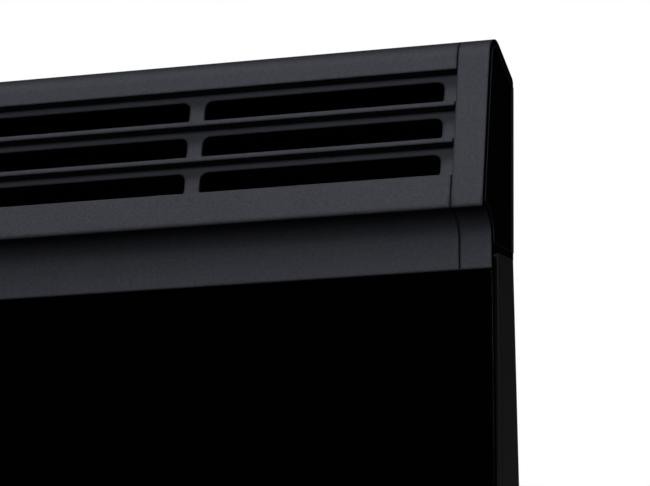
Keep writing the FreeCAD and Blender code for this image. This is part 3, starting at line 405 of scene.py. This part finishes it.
# Knob: a satin black moulding with a grip bar across it; it presses on the shaft's flat.
# White paint fills the pointer groove at one end of the bar.

knob_black = moulded("knob_plastic", dark=(0.012, 0.012, 0.013), pale=(0.024, 0.024, 0.025),
                     roughness=0.34, grain_scale=3600, depth=0.2)
knob_black.dress("thermostat_knob")

knob_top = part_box("thermostat_knob")[1].x
groove_start, groove_end = 0.0027, 0.0058
groove_wide, groove_deep = 0.0009, 0.0005
paint_round = 0.00008
paint_middle = (groove_start + groove_end) / 2
pointer = bar("knob_pointer",
              (knob_top - groove_deep * 0.75, dial_centre.y, dial_centre.z + paint_middle),
              (groove_deep / 2, groove_wide, groove_end - groove_start), paint_round)
fit(pointer, ink, "knob")


# Rocker switch: a nylon frame snapped into the fascia with a rocker on two trunnions.
# The rocker is printed with a stroke and a ring for on and off.

switch_black = moulded("switch_plastic", dark=(0.014, 0.014, 0.015), pale=(0.026, 0.026, 0.027),
                       roughness=0.3, grain_scale=3000, depth=0.15)
switch_black.dress("switch_body", "switch_rocker")

well_clear = 0.01


def touch(node, start, way):
    """Where a straight line from a point first meets a CAD node, and the face's normal there."""
    settled = bpy.context.evaluated_depsgraph_get()
    hit, spot, normal, _ = frame["nodes"][node].ray_cast(start, way, depsgraph=settled)
    if not hit:
        raise RuntimeError("nothing of %s lies that way" % node)
    return spot, normal


rocker_low, rocker_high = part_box("switch_rocker")
rocker_middle = (rocker_low + rocker_high) / 2
mark_high, mark_rise = 0.0030, 0.0030
across = Vector((0, 1, 0))
for name, words, up in (("rocker_mark_on", "I", mark_rise), ("rocker_mark_off", "O", -mark_rise)):
    outside = (rocker_high.x + well_clear, rocker_middle.y, rocker_middle.z + up)
    spot, normal = touch("switch_rocker", outside, (-1, 0, 0))
    mark = printed(name, words, mark_high)
    tilt = Matrix((across, normal.cross(across), normal)).transposed().to_4x4()
    mark.data.transform(Matrix.Translation(spot) @ tilt)
    fit(mark, ink, "rocker")


# Indicator lamp: a translucent amber lens with a collar, pressed into the fascia in front of a small lamp.
# A plated ring frames it; the colour deepens towards the collar, where the wall is thicker.

lens = Finish("lamp_plastic", IOR=1.49, Coat_Weight=0.6)
amber_deep, amber_bright = (0.30, 0.045, 0.006), (0.72, 0.20, 0.02)
amber_fade = 0.0008
lens_low, lens_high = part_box("indicator_lens")
depth = lens.place.axis("X").above(lens_high.x - amber_fade, soft=amber_fade)
lens_body = lens.place.noise(1800)
lens.feed("Base Color", (depth * 0.8 + lens_body * 0.2).blend(amber_deep, amber_bright))
lens.feed("Roughness", lens_body.between(0.12, 0.22))
lens.dress("indicator_lens")


def ring(name, sides, inner, outer, height, rounding):
    """A flat ring round the Z axis, standing on the origin, with its upper edges rounded."""
    bpy.ops.object.select_all(action="DESELECT")
    bpy.ops.mesh.primitive_circle_add(vertices=sides, radius=outer, fill_type="NOTHING")
    piece = bpy.context.object
    piece.name = name
    bpy.ops.object.mode_set(mode="EDIT")
    bpy.ops.mesh.select_all(action="SELECT")
    bpy.ops.mesh.extrude_region()
    bpy.ops.transform.resize(value=(inner / outer, inner / outer, 1))
    bpy.ops.mesh.select_all(action="SELECT")
    bpy.ops.mesh.extrude_region_move(TRANSFORM_OT_translate={"value": (0, 0, height)})
    bpy.ops.mesh.select_all(action="SELECT")
    bpy.ops.mesh.normals_make_consistent(inside=False)
    bpy.ops.mesh.select_all(action="DESELECT")
    bpy.ops.object.mode_set(mode="OBJECT")
    for edge in piece.data.edges:
        ends = [piece.data.vertices[v].co for v in edge.vertices]
        around = abs(ends[0].xy.length - ends[1].xy.length) < (outer - inner) / 2
        edge.select = around and min(end.z for end in ends) > height / 2
    bpy.ops.object.mode_set(mode="EDIT")
    bpy.ops.mesh.select_mode(type="EDGE")
    bpy.ops.mesh.bevel(offset=rounding, segments=3, affect="EDGES")
    bpy.ops.object.mode_set(mode="OBJECT")
    bpy.ops.object.shade_smooth_by_angle(angle=smooth_under)
    return piece


plated = Finish("lamp_ring_plate", Metallic=1.0)
plate_dull, plate_bright = (0.58, 0.58, 0.58), (0.72, 0.72, 0.72)
polish = plated.place.noise(2400, detail=3.0)
plated.feed("Base Color", polish.blend(plate_dull, plate_bright))
plated.feed("Roughness", polish.between(0.12, 0.24))
lamp_ring = ring("lamp_ring", sides=48, inner=0.0037, outer=0.0047, height=0.0009, rounding=0.0003)
lamp_middle = (lens_low + lens_high) / 2
lamp_ring.data.transform(Matrix.Translation((dial_centre.x, lamp_middle.y, lamp_middle.z)) @ on_side)
fit(lamp_ring, plated, "heater")


# Cord inlet: a moulded polyamide gland through the bottom, clamped by a hexagon nut inside the pan.
# A ribbed cap nut screws over its nose and a soft rubber lip closes in round the bore.

gland_black = moulded("gland_plastic", dark=(0.012, 0.012, 0.012), pale=(0.022, 0.022, 0.023),
                      roughness=0.5, grain_scale=2800, depth=0.35)
gland_black.dress("cable_gland", "gland_nut")

gland_low, gland_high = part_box("cable_gland")
gland_middle = (gland_low + gland_high) / 2
upside_down = Matrix.Rotation(math.pi, 4, "X")
cap_nut_sides, cap_nut_top = 32, 0.0085
rib_from, groove_share = 0.0076, 0.93
cap_nut = ring("gland_cap_nut", cap_nut_sides, inner=0.00605, outer=0.0082, height=0.0082, rounding=0.0010)
bpy.ops.object.mode_set(mode="EDIT")
bpy.ops.mesh.select_all(action="DESELECT")
bpy.ops.object.mode_set(mode="OBJECT")
for corner in cap_nut.data.vertices:
    turn_share = math.atan2(corner.co.y, corner.co.x) / math.tau * cap_nut_sides
    corner.select = corner.co.xy.length > rib_from and round(turn_share) % 2 == 0
bpy.ops.object.mode_set(mode="EDIT")
bpy.ops.mesh.select_mode(type="VERT")
bpy.ops.transform.resize(value=(groove_share, groove_share, 1))
bpy.ops.object.mode_set(mode="OBJECT")
cap_nut_place = Matrix.Translation((gland_middle.x, gland_middle.y, gland_low.z + cap_nut_top))
cap_nut.data.transform(cap_nut_place @ upside_down)
fit(cap_nut, gland_black, "heater")

rubber = Finish("gland_rubber")
rubber_black, rubber_bloom = (0.008, 0.008, 0.008), (0.020, 0.020, 0.020)
bloom = rubber.place.noise(1500, detail=3.0)
rubber.feed("Base Color", bloom.blend(rubber_black, rubber_bloom))
rubber.feed("Roughness", bloom.between(0.6, 0.8))
seal = ring("gland_seal", sides=48, inner=0.0029, outer=0.0056, height=0.0007, rounding=0.00025)
seal.data.transform(Matrix.Translation((gland_middle.x, gland_middle.y, gland_low.z)) @ upside_down)
fit(seal, rubber, "heater")


# Pane: 4 mm toughened glass, black enamel fired on its back, with ground and polished arrises.
# A soft black foam tape bonds it to the pan.

pane = Finish("black_glass", IOR=1.5)
pane_black, arris_tone_and_glint = (0.0001, 0.0001, 0.0001), (0.010, 0.011, 0.011)
ripple = pane.place.noise(7, detail=1.0)
# The arrises are paler: partly the ground glass's own tone, partly a painted glint.
ground_and_glint = pane.edges(radius=0.0012)
pane.feed("Base Color", (ground_and_glint * 0.97 + ripple * 0.03).blend(pane_black, arris_tone_and_glint))
pane.feed("Roughness", ground_and_glint * 0.25)
pane.dress("front_glass")

tape = Finish("bonding_tape")
tape_black, tape_pale = (0.006, 0.006, 0.006), (0.013, 0.013, 0.013)
foam = tape.place.cells(3500)
tape.feed("Base Color", foam.blend(tape_black, tape_pale))
tape.feed("Roughness", foam.between(0.7, 0.9))
tape.relief(foam, strength=0.5, distance=0.0001, radius=0.0002)
tape.dress("glass_tape")


# Rear cover: a shallow tray of 1 mm steel, stoved in dark grey powder, that closes the back of the pan.
# Windows in it take the bracket's hooks and the noses of the catches, and two pressed swages stiffen it.

cover_coat = powder_coat("cover_coat", colour=(0.018, 0.018, 0.019), paler=(0.032, 0.032, 0.034),
                         roughness=0.48, speckle=1600, peel=0.25)
cover_coat.dress("rear_cover")

cover_low, cover_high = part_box("rear_cover")
swage_long, swage_wide, swage_proud = 0.270, 0.012, 0.0012
swage_heights = (0.36, 0.64)
for n, share in enumerate(swage_heights):
    height = cover_low.z + (cover_high.z - cover_low.z) * share
    spot, normal = touch("rear_cover", (0, cover_high.y + well_clear, height), (0, -1, 0))
    swage = bar("cover_swage_%d" % n, (0, 0, 0), (swage_long, swage_wide, swage_proud * 2), swage_proud * 0.8)
    lie = Matrix(((1, 0, 0), normal.cross((1, 0, 0)), normal)).transposed().to_4x4()
    swage.data.transform(Matrix.Translation(spot) @ lie)
    fit(swage, cover_coat, "heater")


# Cover screws: four zinc-plated hexagon screws up through the pan's floor into the cover's flange.
# Each head is forged with a round flange that spreads its load.

zinc = Finish("screw_steel", Metallic=1.0)
zinc_dull, zinc_bright = (0.50, 0.50, 0.49), (0.68, 0.68, 0.66)
plating = zinc.place.noise(1600, detail=3.0)
zinc.feed("Base Color", plating.blend(zinc_dull, zinc_bright))
zinc.feed("Roughness", plating.between(0.24, 0.46))
zinc.relief(plating, strength=0.15, distance=0.00008, radius=0.0003)
zinc.dress("cover_screws")

screws_low, screws_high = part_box("cover_screws")
screws_y = (screws_low.y + screws_high.y) / 2
pan_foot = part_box("front_pan")[0].z
screw_count, head_across_corners = 4, 0.00808
first_screw = screws_low.x + head_across_corners / 2
screw_step = (screws_high.x - screws_low.x - head_across_corners) / (screw_count - 1)
flange = ring("screw_flange_0", sides=40, inner=0.0041, outer=0.0053, height=0.0007, rounding=0.0003)
flange.data.transform(Matrix.Translation((first_screw, screws_y, pan_foot)) @ upside_down)
fit(flange, zinc, "heater")
for n in range(1, screw_count):
    along = Matrix.Translation((screw_step * n, 0, 0))
    fit(copied(flange, "screw_flange_%d" % n, along), zinc, "heater")


# Outlet head: one aluminium extrusion with two blades in front of a slotted web, sawn to length and
# stoved in a metallic anthracite powder. Inside faces of the hollow behind the web are painted near-black
# as shade.

head_colour, head_pale = (0.0405, 0.0435, 0.0545), (0.0615, 0.0645, 0.0755)
# Near-black that stands in for shade, in the hollow behind the web and on the caps' sideways faces.
painted_shade_black = (0.0004, 0.0004, 0.0004)
edge_round, lip_fuller = 0.0014, 0.0014
visor_tilt = math.radians(10.2)
lip_y, lip_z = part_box("outlet_grille")[0].y, 0.133
lip_below, lip_over, lip_soft = 0.006, 0.004, 0.001


def anthracite(name):
    """Metallic anthracite powder: fine bright flake in a satin skin that is fuller over the lip's edge."""
    finish = Finish(name, Metallic=1.0)
    flake = finish.place.noise(1200, detail=3.0, roughness=0.7)
    cloud = finish.place.noise(60)
    tone = (flake * 0.92 + cloud * 0.08).above(0.5, soft=0.2)
    height = finish.place.axis("Z")
    at_lip = height.above(lip_z - lip_below, lip_soft) * (1 - height.above(lip_z + lip_over, lip_soft))
    finish.feed("Roughness", flake.between(0.65, 0.75))
    finish.relief(flake, strength=0.12, distance=0.00008, radius=at_lip * lip_fuller + edge_round)
    return finish, tone.blend(head_colour, head_pale)


head, head_tone = anthracite("head_coat")
square_in = Vector((0, math.cos(visor_tilt), -math.sin(visor_tilt)))
web_depth = 0.0071
web_back = square_in.dot((0, lip_y, lip_z)) + web_depth
over_lip = head.place.axis("Z").above(lip_z, lip_soft)
behind_web = head.place.along(square_in).above(web_back, soft=0.0002) * over_lip
up_and_back = (0, 0.5, 0.86)
inward = (0 - head.facing.along(up_and_back)).above(0.1, soft=0.1)
# Painted shade: faces behind the web that look down and forward are near-black.
head.feed("Base Color", (behind_web * inward).blend(head_tone, painted_shade_black))
head.dress("outlet_grille")


# End caps: moulded to the head's section in a plastic that matches its paint, with the side sunk in a slim
# rim; its sideways faces are painted near-black as shade. A lug drops into the pan, a spigot slides into
# the extrusion, and a fine bead runs round the side.

cap, cap_tone = anthracite("cap_plastic")
sideways = cap.facing.axis("X")
side_on = sideways.maths("ABSOLUTE", sideways, 0).above(0.7, soft=0.15)
# Painted shade: faces that look sideways, the sunk side and its rim, are near-black.
cap.feed("Base Color", side_on.blend(cap_tone, painted_shade_black))
cap.dress("end_cap_left", "end_cap_right")

bead_coat, bead_tone = anthracite("bead_coat")
bead_coat.feed("Base Color", bead_tone)
rim_deep, bead_thick = 0.0008, 0.00028
merge_gap, rim_slack = 0.00001, 0.0001
for side in ("left", "right"):
    bpy.ops.object.select_all(action="DESELECT")
    bead = frame["nodes"]["end_cap_" + side].copy()
    bead.data = bead.data.copy()
    bead.name = "cap_bead_" + side
    bead.parent = None
    bpy.context.scene.collection.objects.link(bead)
    bead.select_set(True)
    bpy.context.view_layer.objects.active = bead
    bpy.ops.object.mode_set(mode="EDIT")
    bpy.ops.mesh.select_all(action="SELECT")
    bpy.ops.mesh.remove_doubles(threshold=merge_gap)
    bpy.ops.mesh.select_all(action="DESELECT")
    bpy.ops.object.mode_set(mode="OBJECT")
    # Only the outer edges of the wall round the sunk side stay; they become the bead's path.
    reach = [abs(corner.co.x) for corner in bead.data.vertices]
    rim_at = max(reach)
    wall_edges = set()
    for face in bead.data.polygons:
        innermost = min(reach[v] for v in face.vertices)
        if abs(face.normal.x) < 0.5 and innermost > rim_at - rim_deep - rim_slack:
            wall_edges.update(face.edge_keys)
    for edge in bead.data.edges:
        innermost = min(reach[v] for v in edge.vertices)
        edge.select = edge.key not in wall_edges or innermost < rim_at - rim_slack
    bpy.ops.object.mode_set(mode="EDIT")
    bpy.ops.mesh.select_mode(type="EDGE")
    bpy.ops.mesh.delete(type="EDGE")
    bpy.ops.object.mode_set(mode="OBJECT")
    bpy.ops.object.convert(target="CURVE")
    bead.data.bevel_depth = bead_thick
    bead.data.bevel_resolution = 2
    bpy.ops.object.convert(target="MESH")
    bpy.ops.object.shade_smooth_by_angle(angle=smooth_under)
    fit(bead, bead_coat, "heater")


# Stage: a pale floor below the heater, a low and a high soft box in front, and weaker ones behind, below and
# beside it. The floor and the surround are pale to the camera and dark to bounced light, and the floor shows
# in the pane only as a faint sheen.

floor_drop, floor_radius = 0.6, 30
bpy.ops.object.select_all(action="DESELECT")
bpy.ops.mesh.primitive_circle_add(vertices=128, radius=floor_radius, fill_type="NGON",
                                  location=(0, 0, cad_low.z - floor_drop))
floor = bpy.context.object
floor.name = "floor"


def grey(level):
    """The same level in red, green and blue."""
    return (level,) * 3


paper = Finish("floor_paper", Roughness=0.9, Emission_Strength=1.0)
seen = paper.place.node("ShaderNodeLightPath", output="Is Camera Ray")
mirrored = paper.place.node("ShaderNodeLightPath", output="Is Singular Ray")
paper_fibre = paper.place.noise(30).blend(grey(0.20), grey(0.22))
paper.feed("Base Color", seen.blend(grey(0.04), paper_fibre))
away = paper.place.node("ShaderNodeVectorMath", {"operation": "LENGTH"}, {0: paper.place}, "Value")
far_off = away.above(6, soft=4)
sheen = (mirrored * away.above(1.9, soft=1.3) * (1 - far_off)).blend(grey(0), grey(0.22))
paper.feed("Emission Color", seen.blend(sheen, far_off.blend(grey(0.72), grey(1))))
# From below the floor is clear, so that it hides nothing.
under = paper.place.node("ShaderNodeNewGeometry", output="Backfacing")
clear = paper.place.node("ShaderNodeBsdfTransparent")
sheet = Shade(paper.tree, paper.shader.outputs[0])
one_sided = paper.place.node("ShaderNodeMixShader", None, {0: under, 1: sheet, 2: clear})
paper.tree.links.new(one_sided.socket, paper.tree.nodes["Material Output"].inputs["Surface"])
floor.data.materials.append(paper.material)


def lamp(name, target, azimuth, elevation, distance, width, height, power, spread=180):
    """A soft box that faces its target from a direction; azimuth is to the right of straight in front."""
    data = bpy.data.lights.new(name, "AREA")
    data.spread = math.radians(spread)
    data.shape = "RECTANGLE"
    data.size = width
    data.size_y = height
    data.energy = power
    turn, rise = math.radians(azimuth), math.radians(elevation)
    way = Vector((math.sin(turn) * math.cos(rise), -math.cos(turn) * math.cos(rise), math.sin(rise)))
    made = bpy.data.objects.new(name, data)
    bpy.context.scene.collection.objects.link(made)
    made.visible_camera = False
    made.location = Vector(target) + way * distance
    made.rotation_euler = (-way).to_track_quat("-Z", "Y").to_euler()


head_low, head_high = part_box("outlet_grille")
head_middle = (0, head_low.y, (head_low.z + head_high.z) / 2)
lamp("low_box", head_middle, azimuth=13, elevation=15, distance=2.0, width=1.4, height=0.6, power=22)
lamp("top_box", head_middle, azimuth=-16, elevation=57, distance=2.0, width=2.4, height=0.8, power=33)
body_middle = (cad_low + cad_high) / 2
lamp("rear_box", body_middle, azimuth=-171, elevation=6, distance=2.2, width=1.4, height=0.8, power=11,
     spread=110)
lamp("under_box", body_middle, azimuth=-165, elevation=-15, distance=1.5, width=1.2, height=0.3, power=6,
     spread=110)
lamp("side_box", body_middle, azimuth=95, elevation=12, distance=2.0, width=1.0, height=1.0, power=1.2)
fascia_low, fascia_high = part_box("control_fascia")
lamp("control_box", (fascia_low + fascia_high) / 2, azimuth=70, elevation=-12, distance=0.6,
     width=0.12, height=0.12, power=0.16, spread=20)

surround = bpy.data.worlds.new("surround")
bpy.context.scene.world = surround
surround.use_nodes = True
sky = surround.node_tree
background = sky.nodes["Background"]
background.inputs["Color"].default_value = (1, 1, 1, 1)
room = Shade(sky, background.outputs[0])
seen = room.node("ShaderNodeLightPath", output="Is Camera Ray")
through = room.node("ShaderNodeLightPath", output="Is Transmission Ray")
toward = room.node("ShaderNodeTexCoord", output="Generated")
behind = toward.axis("Y").above(0.2, soft=0.2) * (1 - toward.axis("Z").above(0.05, soft=0.15))
room_light, back_light = 0.002, 0.16
sky.links.new((seen | through | (behind * back_light + room_light)).socket, background.inputs["Strength"])


# Camera: low down and to the right of the heater, looking up at its top right corner through a long lens.
# Its place, turn, tilt and roll come from the long straight edges of the head.

camera_place = Matrix.Translation((0.7681, -1.4333, -0.13585))
turn, tilt, roll = (math.radians(degrees) for degrees in (20.34, 100.182, -0.169))
camera_data = bpy.data.cameras.new("camera")
camera_data.sensor_width = 36
camera_data.lens = 211.84
camera = bpy.data.objects.new("camera", camera_data)
bpy.context.scene.collection.objects.link(camera)
camera.matrix_world = (camera_place @ Matrix.Rotation(turn, 4, "Z") @ Matrix.Rotation(tilt, 4, "X")
                       @ Matrix.Rotation(roll, 4, "Z"))
bpy.context.scene.camera = camera
bpy.context.scene.view_settings.view_transform = "Standard"
